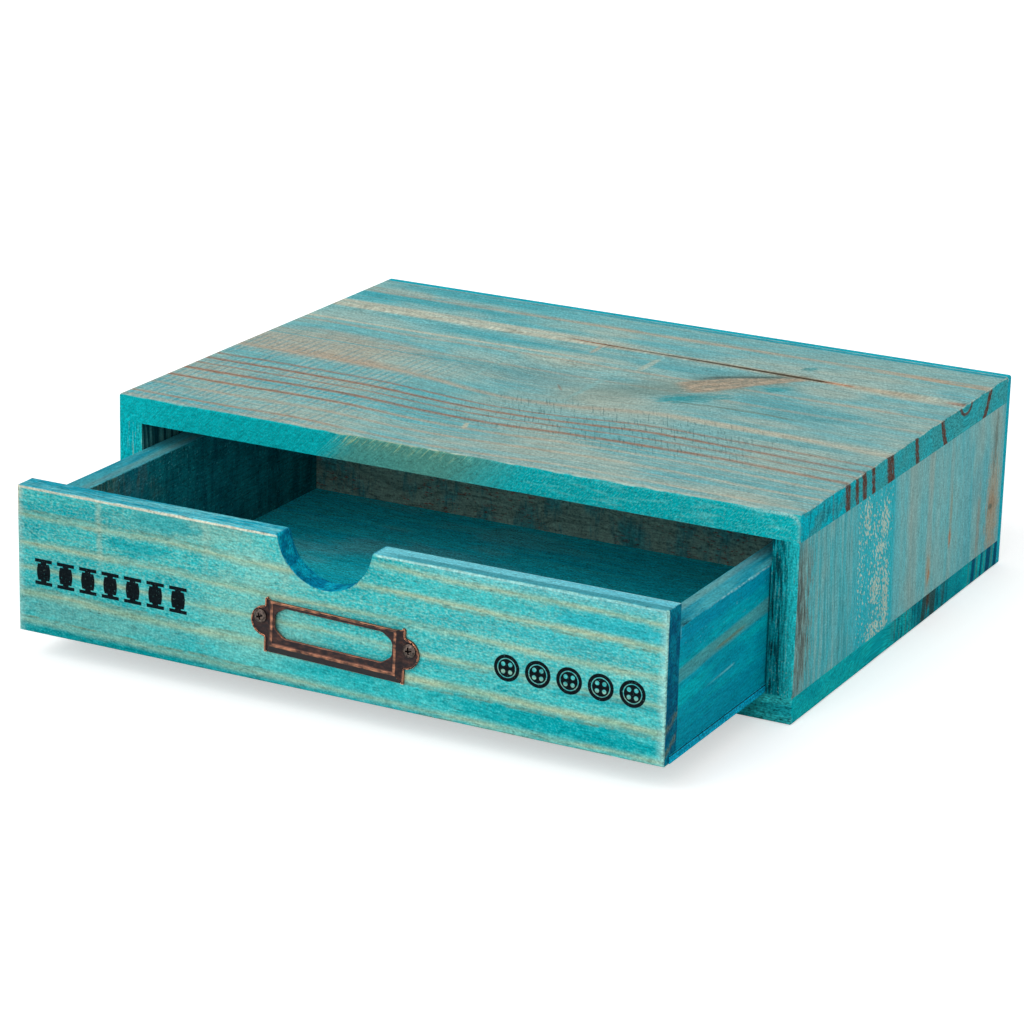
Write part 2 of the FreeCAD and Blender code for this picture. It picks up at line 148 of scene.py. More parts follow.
class Finish:
    """A material, mixed node by node in millimetres of the piece it is on."""

    def __init__(self, name):
        self.material = bpy.data.materials.new(name)
        self.material.use_nodes = True
        self.tree = self.material.node_tree
        self.surface = self.tree.nodes["Principled BSDF"]
        here = self.add("ShaderNodeTexCoord", output="Object")
        here = self.add("ShaderNodeVectorMath", {"operation": "SCALE"}, {"Vector": here, "Scale": 1 / MM})
        facing = self.add("ShaderNodeTexCoord", output="Normal")
        self.x, self.y, self.z = [self.add("ShaderNodeSeparateXYZ", {}, [here], axis) for axis in "XYZ"]
        self.east, self.north, self.up = [self.add("ShaderNodeSeparateXYZ", {}, [facing], axis) for axis in "XYZ"]

    def add(self, kind, settings={}, inputs={}, output=None):
        """A node of that kind: its settings first, then its sockets, by name or in order."""
        node = self.tree.nodes.new(kind)
        for setting, value in settings.items():
            if setting == "stops":
                self.set_stops(node.color_ramp, value)
            else:
                setattr(node, setting, value)
        sockets = [socket for socket in node.inputs if socket.enabled]
        named = {socket.name: socket for socket in reversed(sockets)}
        pairs = inputs.items() if isinstance(inputs, dict) else enumerate(inputs)
        for place, value in pairs:
            self.feed(named[place] if isinstance(place, str) else sockets[place], value)
        outputs = [socket for socket in node.outputs if socket.enabled]
        chosen = [socket for socket in outputs if output in (None, socket.name)]
        return Value(self, chosen[0])

    def feed(self, socket, value):
        if isinstance(value, Value):
            self.tree.links.new(value.socket, socket)
        else:
            socket.default_value = value

    def set_stops(self, ramp, stops):
        for place, colour in stops[1:-1]:
            ramp.elements.new(place)
        for element, (place, colour) in zip(ramp.elements, stops):
            element.position = place
            element.color = colour

    def noise(self, along, across, through, detail=2, distortion=0):
        """Soft noise, its lumps one unit long in each of the three directions given."""
        spot = self.add("ShaderNodeCombineXYZ", {}, [along, across, through])
        return self.add("ShaderNodeTexNoise", {}, {"Vector": spot, "Scale": 1, "Detail": detail,
                                                   "Distortion": distortion})

    def mix(self, share, under, over):
        return self.add("ShaderNodeMix", {"data_type": "RGBA"}, {"Factor": share, "A": under, "B": over})

    def shade(self, colour, amount):
        return self.add("ShaderNodeVectorMath", {"operation": "SCALE"}, {"Vector": colour, "Scale": amount})

    def lines(self, across, start, end, marks):
        """How strongly each mark, given as (place, half width, strength), colours the wood."""
        stops = [(start, 0)]
        for place, half, strength in sorted(marks):
            stops += [(max(place - half, stops[-1][0]), 0), (place, strength), (place + half, 0)]
        grey = [((place - start) / (end - start), [strength] * 3 + [1]) for place, strength in stops]
        span = (across - start) / (end - start)
        return self.add("ShaderNodeValToRGB", {"stops": grey + [(1, [0, 0, 0, 1])]}, [span])

    def arris(self, node):
        """Distance in from the nearest arris of a board."""
        low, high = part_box(node)
        first, second, third = [(high[axis] - low[axis]) / 2 / MM - (place - (low[axis] + high[axis]) / 2 / MM).size()
                                for axis, place in enumerate((self.x, self.y, self.z))]
        return first.least(second).most(first.most(second).least(third))

    def grained(self, colour, along, across, through, marks=0, rough=0.66, contrast=1, dust=0.05):
        """Closes a stained wood: speckled fibres, open pores, pale dust and a matt, uneven sheen."""
        fibres = self.noise(along / 6, across / 0.8, through / 0.8, 3) - 0.5
        speckle = self.noise(along / 1.3, across / 0.75, through / 0.75, 3) - 0.5
        pores = self.noise(along / 4, across / 0.45, through / 0.45, 1).rise(0.66, 0.78)
        colour = self.mix(speckle.rise(0.02, 0.24) * dust, colour, stain(206, 210, 190))
        light = 1 + (fibres * 0.9 + speckle * 1.15 - pores * 0.25) * contrast
        height = fibres * 0.7 + speckle * 0.6 - pores + marks
        bump = self.add("ShaderNodeBump", {}, {"Height": height, "Distance": 0.12 * MM, "Strength": 1})
        return self.close(self.shade(colour, light), rough - fibres * 0.2 + pores * 0.1, bump, shine=0.012)

    def close(self, colour, roughness, normal, metallic=0, shine=0.5):
        for name, value in {"Base Color": colour, "Roughness": roughness, "Normal": normal,
                            "Metallic": metallic, "Specular IOR Level": shine}.items():
            self.feed(self.surface.inputs[name], value)
        return self.material


def stain(red, green, blue):
    """A colour from its eight-bit levels, as the shader's linear one."""
    levels = [level / 255 for level in (red, green, blue)]
    return [level / 12.92 if level < 0.04 else ((level + 0.055) / 1.055) ** 2.4 for level in levels] + [1]


grey_teal, blue_teal, deep_teal = stain(138, 190, 188), stain(104, 190, 198), stain(58, 170, 182)
bare_cream, bare_tan, ring_brown = stain(194, 200, 180), stain(190, 170, 146), stain(160, 104, 74)
crack_brown, resin_orange, smudge = stain(74, 64, 46), stain(184, 128, 96), stain(104, 152, 154)
edge_teal, edge_olive, arris_pale = stain(6, 178, 184), stain(88, 144, 128), stain(206, 222, 206)
end_teal, end_bright, end_brown = stain(52, 162, 172), stain(0, 186, 204), stain(98, 60, 46)

pith_y, pith_z = 64, 98
knot_bulge_x, knot_bulge_width, knot_bulge = -10, 74, 15
ring_lines = [(105.3, 2, 0.8), (114.3, 2.5, 1), (122.8, 1.8, 0.75), (132.2, 2.6, 1)]
left_lines = [(145.2, 2, 1), (118.6, 1, 0.35), (175.2, 1.4, 0.6), (127.5, 0.9, 0.3)]
soft_lines = [(86.4, 4.5, 0.75), (138, 1.2, 0.4), (145.2, 2.4, 0.75), (152, 1.2, 0.35), (159.2, 2.4, 0.75),
              (167, 1.4, 0.35), (175.2, 2.2, 0.8), (182, 3, 0.5)]
rear_bands = [(31, 2.4, 0.6), (52, 2.2, 0.45)]
cream_bands = [(71, 5, 0.9), (65, 4, 0.9), (40, 2.2, 0.9)]
knot_foot, knot_length = (42, 20), 64
end_rings = [(27.6, 3, 1), (57, 3, 0.9), (86.1, 5.8, 0.9), (104.9, 2.8, 1), (114.8, 3.4, 1),
             (122.9, 2.6, 1), (132.8, 4, 1), (148, 2.2, 0.4), (158, 1.6, 0.3)]

top = finer("top_board", "top_board_sanded", 2.5)
sand(top, 0.16, 60, joints=[(2, 78), (1, 116)])
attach(top, "case")
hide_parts("top_board")

wood = Finish("weathered_top")
x, y, z = wood.x, wood.y, wood.z
face, front, end = wood.up.rise(0.5, 0.8), (0 - wood.north).rise(0.5, 0.8), wood.east.size().rise(0.5, 0.8)

# the rings bow forwards round the knot
bow = x.hump(knot_bulge_x, 0, knot_bulge_width) * knot_bulge * (0.3 + 0.7 * y.rise(-80, -18)) * y.rise(45, 5)
drift = wood.noise(x / 70, y / 40, z / 40, 1) * 4 - 2
ring = (y - pith_y).away(z - pith_z) - bow - 3.5 * x.rise(70, 170) + drift

streaks = wood.noise(x / 110, ring / 7, z / 30, 3)
clouds = wood.noise(x / 55, y / 28, z / 28, 2)
colour = wood.mix(streaks.rise(0.3, 0.7), blue_teal, grey_teal)
colour = wood.mix(clouds.rise(0.42, 0.7) * 0.45, colour, bare_cream)
colour = wood.mix(clouds.rise(0.5, 0.3) * 0.35, colour, deep_teal)
# the flatter patches where the stain took more, or was rubbed back to bare wood
for patch_x, patch_y, wide, deep, tint, strength in [(-115, 88, 50, 9, deep_teal, 0.8), (-125, -6, 66, 24, stain(198, 178, 152), 0.66),
                                                     (-105, -18, 62, 8, bare_tan, 0.7), (-132, 68, 46, 7, bare_cream, 0.9),
                                                     (-60, 66, 56, 6, bare_cream, 0.75), (-30, 2, 55, 20, smudge, 0.5),
                                                     (110, 14, 50, 13, deep_teal, 0.6), (98, -10, 24, 5, bare_cream, 0.4),
                                                     (103, 50, 18, 12, bare_cream, 0.45), (90, -24, 60, 4, bare_cream, 0.7),
                                                     (-60, 104, 90, 7, blue_teal, 0.6), (-118, 109, 56, 9, deep_teal, 0.65), (130, 100, 60, 14, grey_teal, 0.7),
                                                     (24, -14, 30, 18, bare_cream, 0.5), (134, 62, 40, 7, bare_cream, 0.8), (159, 62, 7, 2.5, resin_orange, 0.8),
                                                      (-40, 50, 70, 6, deep_teal, 0.45),
                                                     (30, 50, 40, 8, deep_teal, 0.4), (-90, 30, 60, 8, blue_teal, 0.6),
                                                     (120, -32, 40, 4, deep_teal, 0.5), (60, -4, 20, 4, grey_teal, 0.6)]:
    spread = ((x - patch_x) / wide).away((y - patch_y) / deep) + (clouds - 0.5) * 1.4 + (streaks - 0.5) * 0.8
    colour = wood.mix(spread.rise(1.15, 0.35) * strength, colour, tint)

# saw marks across the left front
kerf_pitch = 3.8
kerf_wobble = wood.noise(x / 24, y / 90, z / 60, 1)
kerfs = ((x + kerf_wobble * 4) * (tau / kerf_pitch)).wave()
sawn = x.rise(-35, -80) * y.rise(34, -20) * wood.noise(x / 9, y / 26, z / 9, 2).rise(0.3, 0.6)
colour = wood.mix(kerfs.rise(0, 1) * sawn * 0.4, colour, stain(186, 190, 176))
colour = wood.mix(kerfs.rise(-0.2, -1) * sawn * 0.5, colour, stain(70, 154, 172))

# growth lines, full in front of the knot and paler behind it
broken = wood.noise(x / 14, ring / 2, z / 2, 2).rise(0.25, 0.5)
frayed = ring + (wood.noise(x / 5, ring / 1.5, z / 3, 2) - 0.5) * 1.8
soft = wood.lines(frayed, 80, 190, soft_lines)
colour = wood.mix(soft * (0.4 + 0.6 * broken), colour, wood.mix(x.rise(20, 60), bare_tan, stain(200, 196, 174)))
colour = wood.mix(wood.lines(frayed, 80, 190, ring_lines) * (0.98 - 0.2 * x.rise(60, 150)) * (0.7 + 0.3 * broken), colour, ring_brown)
colour = wood.mix(wood.lines(frayed, 80, 190, left_lines) * x.rise(-30, -80) * 0.9, colour, ring_brown)
threads = wood.noise(x / 60, ring / 1.3, z / 3, 2)
colour = wood.mix(threads.rise(0.54, 0.7) * 0.22, colour, bare_tan)
colour = wood.mix(threads.rise(0.46, 0.3) * 0.2, colour, deep_teal)
behind = wood.lines((y - pith_y).size() + drift * 0.8, 0, 60, rear_bands) * y.rise(-4, 4)
colour = wood.mix(behind * (0.3 + 0.7 * broken), colour, bare_tan)
cream = wood.lines(y - drift * 0.6 + (threads - 0.5) * 3, 0, 120, cream_bands).rise(0, 0.7)
colour = wood.mix(cream * x.rise(30, -40) * (0.65 + 0.25 * broken), colour, stain(196, 202, 184))
near_line = (y - 4 * x.hump(85, 5, 42)).hump(-2.5, 0.5, 1.4)
colour = wood.mix(near_line * x.rise(44, 52) * x.rise(118, 98) * 0.6, colour, stain(104, 130, 118))
colour = wood.mix(y.hump(5, 0.4, 1) * x.rise(-30, -60) * 0.5, colour, deep_teal)
far_line = (y + x * 0.022).hump(95, 1.2, 2)
colour = wood.mix(far_line * (0.25 + 0.5 * x.rise(90, 140)) * broken, colour, stain(196, 164, 132))

colour = wood.mix(x.rise(-70, 30) * 0.12, colour, stain(184, 160, 140))

# the spike knot: a tan flame inside a dark smudge, and a drying crack behind it
along = ((x - knot_foot[0]) + (y - knot_foot[1])) * cos(radians(45))
aside = ((y - knot_foot[1]) - (x - knot_foot[0])) * cos(radians(45)) + (clouds - 0.5) * 7
trail = (aside + (streaks - 0.5) * 24).size().rise(22, 0) * along.rise(-92, -30) * along.rise(66, 40)
colour = wood.mix(trail * (0.35 + 0.4 * along.rise(-60, -10)), colour, stain(124, 150, 142))
flame_half = 8.6 - 6.2 * along.rise(10, 64)
flame = (aside.size() - flame_half).rise(1.6, -1.2) * along.rise(-2, 6) * along.rise(knot_length, knot_length - 6)
curls = wood.noise(along / 9, aside / 2, z / 9, 2, 1.5)
flame_colour = wood.mix(curls.rise(0.4, 0.6), stain(194, 174, 150), stain(150, 146, 130))
rim = (aside - flame_half - 2).size().rise(3.5, 0.5) * along.rise(8, 24) * along.rise(68, 60)
colour = wood.mix(rim * 0.75, colour, stain(84, 104, 98))
colour = wood.mix(flame * 0.9, colour, flame_colour)
scatter = wood.noise(along / 6, aside / 2.5, z / 9, 3) - 0.5
for blot_along, blot_aside, long, wide in [(3, -18, 14, 6), (-8, -17, 8, 4), (43, -14, 6, 3.5), (69, 15, 4, 2.5)]:
    blot = ((along - blot_along) / long).away((aside - blot_aside) / wide) + scatter * 2.6
    colour = wood.mix(blot.rise(1.5, 0.5) * 0.65, colour, stain(48, 156, 164))
crack_y = 66.5 - 0.03 * x + drift * 0.3
crack_half = 0.25 + 0.75 * x.rise(-10, 80)
crack = ((y - crack_y).size() - crack_half).rise(0.7, -0.1) * x.rise(-30, -12) * x.rise(98, 92)
crack_halo = (y - crack_y).size().rise(4.5, 1) * x.rise(-45, -5) * x.rise(150, 130)
colour = wood.mix(crack_halo * 0.65, colour, stain(192, 180, 156))
colour = wood.mix(x.hump(99, 6, 6) * (y - crack_y).size().rise(1.6, 0.4) * 0.9, colour, resin_orange)
colour = wood.mix(x.hump(-22, 8, 10) * (y - crack_y).size().rise(1.2, 0.3) * 0.8, colour, ring_brown)
colour = wood.mix(crack * (0.55 + 0.4 * x.rise(-10, 60)), colour, crack_brown)
for nick_x, nick_y, nick_wide, nick_long, nick_lean, tint in [(-17, 58, 1.2, 8, 0.06, bare_tan), (15, 46, 1.8, 12, 0, bare_cream),
                                                              (-10, -83, 1.2, 4, 0.3, stain(224, 206, 172)), (-3, -8, 0.9, 4, 0.7, stain(140, 116, 100)),
                                                              (-45, 8, 1.2, 34, 0, grey_teal), (8, 6, 1.6, 30, 0, grey_teal)]:
    nick = ((x - nick_x + (y - nick_y) * nick_lean) / nick_wide).away((y - nick_y) / nick_long) + scatter * 1.2
    colour = wood.mix(nick.rise(1.4, 0.6) * 0.55, colour, tint)

# the sander's slanting strokes
strokes = wood.noise((x + y * 0.45) / 0.8, (x * 0.45 - y) / 8, z, 2)
cuts = wood.noise((x + y * 0.5) / 0.9, (x * 0.5 - y) / 14, z, 1)
scored = cuts.rise(0.58, 0.68) * x.hump(44, 30, 80) * y.hump(-50, 14, 30)
colour = wood.mix(scored * 0.45, colour, stain(64, 118, 120))
colour = wood.mix(y.rise(111.5, 113.5) * (0.35 + 0.6 * x.rise(-120, 60)), colour, stain(26, 160, 178))
face_colour = wood.shade(colour, 1 + (strokes - 0.5) * 0.4)

# the front edge took the most stain, and keeps the blade's slanting hatch
hatch = wood.noise((x + z) / 12, (x - z) / 0.7, y / 9, 3) - 0.5
patch_edge = x + hatch * 22 + (clouds - 0.5) * 20 - (z - 84) * 0.9
olive = patch_edge.rise(-60, -42) * patch_edge.rise(40, -6) * (0.55 + clouds * 0.5)
edge_olive = wood.mix(x.rise(-50, -14), edge_olive, stain(98, 142, 120))
edge_olive = wood.mix(hatch.rise(0.02, 0.2) * z.rise(83, 88), edge_olive, stain(170, 186, 130))
edge_colour = wood.mix(olive, edge_teal, edge_olive)
edge_colour = wood.mix(wood.noise(x / 14, z / 2, y / 4, 3).rise(0.5, 0.72) * x.rise(20, 60) * 0.55, edge_colour, stain(110, 200, 196))
grit = wood.noise((x + z) / 2, (x - z) / 0.75, y / 2, 2)
edge_colour = wood.mix(grit.rise(0.5, 0.7) * (0.06 + 0.3 * x.rise(10, 50)), edge_colour, stain(130, 212, 206))
edge_colour = wood.mix(grit.rise(0.5, 0.3) * (0.16 + 0.24 * x.rise(10, 50)), edge_colour, stain(0, 134, 144))
edge_colour = wood.shade(edge_colour, 1 + hatch * (0.4 + 0.5 * x.rise(10, -50)))

# the ends show the rings themselves, cut across
end_wobble = ring + wood.noise(z / 1.4, y / 5, x / 6, 3) * 2.6 - 1.3
bull_eye = ((y - 63.5).away((z - 90.5) * 1.5) + wood.noise(z / 2, y / 2, x, 2) * 1.4).hump(7.7, 0.9, 0.5)
end_colour = wood.mix(wood.noise(y / 12, z / 9, x / 9, 2).rise(0.42, 0.6), end_teal, end_bright)
end_colour = wood.mix(y.rise(-80, -50) * 0.6, end_colour, stain(64, 168, 172))
end_colour = wood.mix(wood.noise(z / 8, y / 2, x / 6, 2).rise(0.52, 0.66) * y.rise(-70, -90) * 0.7, end_colour, stain(8, 110, 126))
ringed = wood.lines(end_wobble, 0, 200, end_rings).rise(0.2, 0.5) * wood.noise(z / 3, y / 0.9, x, 3).rise(0.2, 0.5)
end_colour = wood.mix(ringed.most(bull_eye * 0.9) * 0.95, end_colour, end_brown)

colour = wood.mix(front, face_colour, edge_colour)
colour = wood.mix(end, colour, end_colour)
rubbed = wood.arris("top_board") + wood.noise(x / 9, y / 9, z / 3, 2) * 1.6 - 0.7
worn = rubbed.rise(0.8, 0.3) * z.rise(87, 88.6)
colour = wood.mix(worn * front * 0.5 * x.hump(-25, 25, 30), colour, stain(196, 190, 140))
colour = wood.mix(worn * (0.25 + 0.45 * x.rise(-40, 20)), colour, arris_pale)
corner_turn = (x - 156).most(0).away((z - 84).most(0))
corner_wear = corner_turn.hump(5.2, 0.1, 1.2) * x.rise(128, 152) * front
colour = wood.mix(corner_wear * grit.rise(0.3, 0.5) * (0.15 + 0.4 * z.rise(84, 89)), colour, stain(190, 226, 218))
marks = kerfs * sawn * 0.4 + hatch * front * 1.5 - crack * 8 - scored
top.data.materials.append(wood.grained(colour, x * (1 + front * 1.5), ring, z, marks=marks,
                                       contrast=1.2 + end * 0.6 - front * 0.1, dust=face * 0.08))


# ---- Bottom board -----------------------------------------------------------
# The case's floor board, of the same pine, under the ends of the two sides. It
# soaked up more stain than the top, and its rings only show on the sawn ends.

soaked_bars = [(26, 3.6, 0.8), (37, 4.4, 0.8), (50, 4, 0.35), (86.5, 4.4, 0.6), (97, 3.6, 0.45), (106, 4.4, 0.8), (116, 4.4, 0.8)]

bottom = finer("bottom_board", "bottom_board_sanded", 4)
sand(bottom, 0.3, 40, joints=[(2, 12), (1, 116)])
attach(bottom, "case")
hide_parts("bottom_board")

wood = Finish("stained_bottom")
x, y, z = wood.x, wood.y, wood.z
ring = (y + 30).away(z + 46) + wood.noise(x / 80, y / 30, z / 30, 1) * 5
streaks = wood.noise(x / 90, ring / 5, z / 20, 3)
colour = wood.mix(streaks.rise(0.38, 0.64), stain(10, 140, 150), stain(60, 166, 172))
rings = wood.noise(x / 160, ring / 1.8, z / 20, 2)
colour = wood.mix(rings.rise(0.54, 0.66) * 0.35, colour, bare_tan)
colour = wood.mix(wood.noise(x / 40, y / 22, z, 2).rise(0.5, 0.7) * 0.35, colour, stain(0, 126, 138))
front = (0 - wood.north).rise(0.5, 0.8)
hatch = wood.noise((x + z) / 14, (x - z) / 0.9, y / 9, 2) - 0.5
front_colour = wood.mix(streaks.rise(0.4, 0.6), stain(24, 158, 166), stain(44, 176, 178))
colour = wood.mix(front, colour, wood.shade(front_colour, 1 + hatch * 0.6))
end = wood.east.size().rise(0.5, 0.8)
end_colour = wood.mix(wood.noise(y / 18, z / 7, x, 2).rise(0.4, 0.6), stain(0, 168, 178), stain(14, 188, 192))
end_colour = wood.mix(y.hump(42, 24, 14) * 0.6, end_colour, stain(0, 128, 148))
marks = wood.noise(y / 3, z / 22, x, 3)
end_colour = wood.mix(marks.rise(0.53, 0.62) * y.hump(18, 20, 16) * 0.8, end_colour, stain(70, 84, 76))
end_colour = wood.mix(marks.rise(0.49, 0.4) * y.hump(22, 24, 16) * 0.8, end_colour, stain(0, 92, 106))
end_colour = wood.mix(y.hump(28.5, 1.2, 2) * marks.rise(0.4, 0.56) * z.rise(2, 9), end_colour, stain(74, 66, 58))
soaked = wood.lines(y + marks * 3 - (z - 6) * 0.1, 0, 130, soaked_bars).rise(0.1, 0.45)
end_colour = wood.mix(soaked, end_colour, wood.mix(y.rise(56, 80), stain(44, 86, 88), stain(0, 88, 118)))
pale_gaps = wood.lines(y + marks * 3, 0, 130, [(81, 1.5, 0.5), (91.5, 1.6, 0.7), (101, 1.2, 0.6), (110.5, 1.4, 0.8)])
end_colour = wood.mix(pale_gaps, end_colour, stain(84, 118, 108))
colour = wood.mix(end, colour, end_colour)
rubbed = wood.arris("bottom_board") + wood.noise(x / 12, y / 12, z / 3, 2) * 3 - 1.5
colour = wood.mix(rubbed.rise(1, 0.1) * z.rise(5, 3) * 0.4, colour, stain(90, 190, 190))
bottom.data.materials.append(wood.grained(colour, x, ring, z, marks=hatch * front * 1.5, contrast=1.4 + front * 1.1, dust=0))


# ---- Side boards ------------------------------------------------------------
# Two short boards stand between top and bottom with their grain upright. They
# came from a rougher plank: saw lines at the front, paint that flaked in a band,
# and bare resin streaks towards the back.

for side, node in [(-1, "left_side_board"), (1, "right_side_board")]:
    board = finer(node, node + "_sanded", 3)
    sand(board, 0.2, 40, joints=[(2, 12), (2, 78), (1, 116), (0, side * 150)])
    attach(board, "case")
    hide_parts(node)

    wood = Finish(node.replace("board", "upright_grain"))
    x, y, z = wood.x, wood.y, wood.z
    shift = 0 if side > 0 else 37
    lean = y + (z - 45) * 0.05 + wood.noise(z / 60, (y + shift) / 25, x / 10, 1) * 4 - 2
    streaks = wood.noise(z / 70, (lean + shift) / 5, x / 6, 3)
    clouds = wood.noise(z / 30, (lean + shift) / 22, x / 20, 2)
    colour = wood.mix(streaks.rise(0.35, 0.65), stain(72, 188, 198), stain(112, 190, 194))
    colour = wood.mix(clouds.rise(0.5, 0.7) * 0.4, colour, stain(150, 184, 174))
    quiet = wood.mix(streaks.rise(0.2, 0.8), stain(104, 193, 200), stain(134, 197, 198))
    colour = wood.mix(lean.rise(-19, -16), colour, wood.mix(clouds.rise(0.4, 0.7) * 0.4, quiet, stain(154, 186, 180)))
    colour = wood.mix(lean.rise(50, 80) * clouds.rise(0.6, 0.4) * 0.4, colour, stain(80, 172, 186))
    # saw lines, then the flaked band
    saw = wood.noise(z / 50, (lean + shift) / 1.7, x / 4, 2)
    sawn = lean.rise(-52, -66)
    colour = wood.mix(saw.rise(0.48, 0.36) * sawn * 0.4, colour, stain(60, 130, 138))
    colour = wood.mix(saw.rise(0.54, 0.66) * sawn * 0.35, colour, stain(158, 192, 184))
    char = wood.noise(z / 7, lean / 0.9, x / 4, 4) * 1.2 + wood.noise(z / 24, lean / 9, x, 1) * 0.45 - (y + 120) * 0.02
    colour = wood.mix(char.rise(0.46, 0.7) * z.hump(40, 20, 30) * 0.65, colour, stain(132, 140, 130))
    colour = wood.mix(char.rise(0.64, 0.84) * z.hump(42, 16, 28) * 0.75, colour, stain(78, 84, 80))
    band = lean if side > 0 else lean - 78
    flaked = band.rise(-66, -54) * band.rise(-12, -18)
    colour = wood.mix(flaked * (0.55 + streaks * 0.45), colour, stain(26, 190, 206))
    flakes = wood.noise(z / 1.9, (band + shift + z * 0.35) / 1.6, x / 3, 3)
    crowd = 0
    for flake_y, flake_z, wide, tall, share in [(-46, 68, 4, 10, 1), (-36, 34, 6, 7, 1.2), (-27, 62, 5, 9, 1.1), (-24, 26, 4, 18, 1.2),
                                                (-54, 52, 6, 26, 0.5), (-36, 15, 10, 5, 1), (-31, 51, 7, 2.5, 1.2),
                                                (-32, 46, 5, 13, 0.75), (-37, 60, 8, 10, 0.5), (-31, 22, 6, 10, 0.6), (-41, 42, 5, 16, 0.35)]:
        spread = ((band - flake_y) / wide).away((z - flake_z) / tall)
        crowd = (spread.rise(1.7, 0.3) * share).most(crowd)
    loose = (flakes + crowd * (0.17 if side > 0 else 0.12)) * band.rise(-64, -56) * band.rise(-16, -19)
    colour = wood.mix(loose.rise(0.52, 0.62) * 0.4, colour, stain(112, 196, 196))
    flake = loose.rise(0.63, 0.68)
    colour = wood.mix(flake * 0.8, colour, stain(204, 222, 204))
    # resin streaks and knots of bare wood further back
    for place, half, strength in [(5, 6, 0.5), (26, 4, 0.5), (51, 3, 0.3), (86, 7, 0.2), (106, 9, 0.5)]:
        colour = wood.mix(lean.hump(place, half * 0.3, half) * (0.6 + 0.4 * streaks) * strength, colour, stain(166, 172, 158))
    smears = wood.noise(z / 5, y / 1.4, x, 3) - 0.5
    for knot_y, knot_z, wide, tall, tint in [(27, 24, 2.2, 6, stain(176, 162, 134)), (28, 21, 1.3, 2.5, stain(178, 112, 64)),
                                             (52, 44, 1.2, 10, stain(150, 164, 146)), (52, 32, 1.3, 3.5, stain(190, 120, 66)),
                                             (105, 30, 7, 22, stain(176, 156, 128)), (104, 33, 3.5, 5, stain(156, 134, 108)),
                                             (103, 32, 2.5, 1.2, stain(80, 104, 96)), (105, 62, 2, 14, stain(112, 130, 122)),
                                             (88, 26, 2, 16, stain(150, 152, 140))]:
        knot = ((y - knot_y) / wide).away((z - knot_z) / tall) + smears * 2.4
        colour = wood.mix(knot.rise(1.5, 0.5) * 0.7, colour, tint)
    # the front edge: cream streaks on the left board, black ones on the right
    front = (0 - wood.north).rise(0.5, 0.8)
    edge = wood.noise(z / 12, x / 1.1, y / 3, 4)
    if side > 0:
        edge_colour = wood.mix(x.rise(153, 160), stain(0, 132, 142), stain(30, 180, 186))
        edge_colour = wood.mix(edge.rise(0.44, 0.6) * x.rise(162, 153) * 0.95, edge_colour, stain(0, 54, 62))
        edge_colour = wood.mix(edge.rise(0.4, 0.3) * 0.35, edge_colour, stain(130, 176, 166))
        chips = wood.noise(z / 1.1, x / 1, y, 2).rise(0.6, 0.7) * (0.25 + 0.5 * z.rise(34, 14))
        edge_colour = wood.mix(chips, edge_colour, stain(112, 168, 160))
    else:
        edge_colour = wood.mix(streaks.rise(0.4, 0.6), stain(0, 172, 180), stain(24, 182, 184))
        edge_colour = wood.mix(edge.rise(0.53, 0.64) * x.rise(-159, -153) * 0.65, edge_colour, stain(170, 200, 180))
    colour = wood.mix(front, colour, edge_colour)
    inside = (wood.east * -side).rise(0.5, 0.8)
    colour = wood.mix(inside, colour, wood.mix(saw.rise(0.42, 0.62), stain(0, 84, 94), stain(92, 160, 158)))
    board.data.materials.append(wood.grained(colour, z * 1.5, y, x, marks=saw * sawn * 1.5 - flake * 0.8,
                                             contrast=1.1 + front * 0.5, dust=0.03))


# ---- Back panel -------------------------------------------------------------
# A thin sheet of poplar plywood stapled over the back of the case. Its cut edge
# drank the most stain and shows as a bright line behind the top board.

back = finer("back_panel", "back_panel_trimmed", 4)
sand(back, 0.15, 40, joints=[(1, 116)])
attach(back, "case")
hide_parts("back_panel")

wood = Finish("stained_back")
x, y, z = wood.x, wood.y, wood.z
swirl = wood.noise(x / 120, z / 26, y, 1) * 60 + x * 0.1 + z
veneer = wood.noise(x / 150, swirl / 5, y, 3)
colour = wood.mix(veneer.rise(0.36, 0.64), stain(70, 158, 168), stain(124, 178, 176))
colour = wood.mix(wood.noise(x / 60, z / 40, y, 2).rise(0.52, 0.7) * 0.5, colour, stain(44, 142, 156))
cut_edge = wood.up.size().most(wood.east.size()).rise(0.5, 0.8)
ply_line = y.hump(118, 0.5, 0.3)
edge_colour = wood.mix(ply_line * 0.3, stain(10, 180, 200), stain(0, 148, 172))
edge_colour = wood.mix(wood.noise(x / 9, y / 2, z / 9, 2).rise(0.5, 0.66) * 0.6, edge_colour, stain(40, 196, 206))
colour = wood.mix(cut_edge, colour, edge_colour)
back.data.materials.append(wood.grained(colour, x, z, y))


# ---- Drawer front -----------------------------------------------------------
# A pine board with level growth bands, sawn with a round finger scoop. It was
# stained a fresher turquoise, rubbed until the bands showed cream, and a row of
# thread spools and a row of buttons were stamped on it in black ink.

front_board = finer("drawer_front", "drawer_front_sanded", 2.5)
sand(front_board, 0.2, 50, joints=[(1, -204)])
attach(front_board, "drawer")
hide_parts("drawer_front")

band_slope = 0.0125
bands = [(15.8, 2.7, 0.65), (27.8, 3.3, 0.9), (38.8, 2.4, 0.75), (49.8, 2.9, 0.75), (62.2, 2.6, 0.85),
         (44.5, 1, 0.2), (54.6, 1, 0.3), (33.4, 1, 0.2)]
top_band = [(72.3, 2.4, 0.8)]
turquoise, cyan, sage = stain(4, 166, 174), stain(52, 188, 190), stain(176, 190, 154)

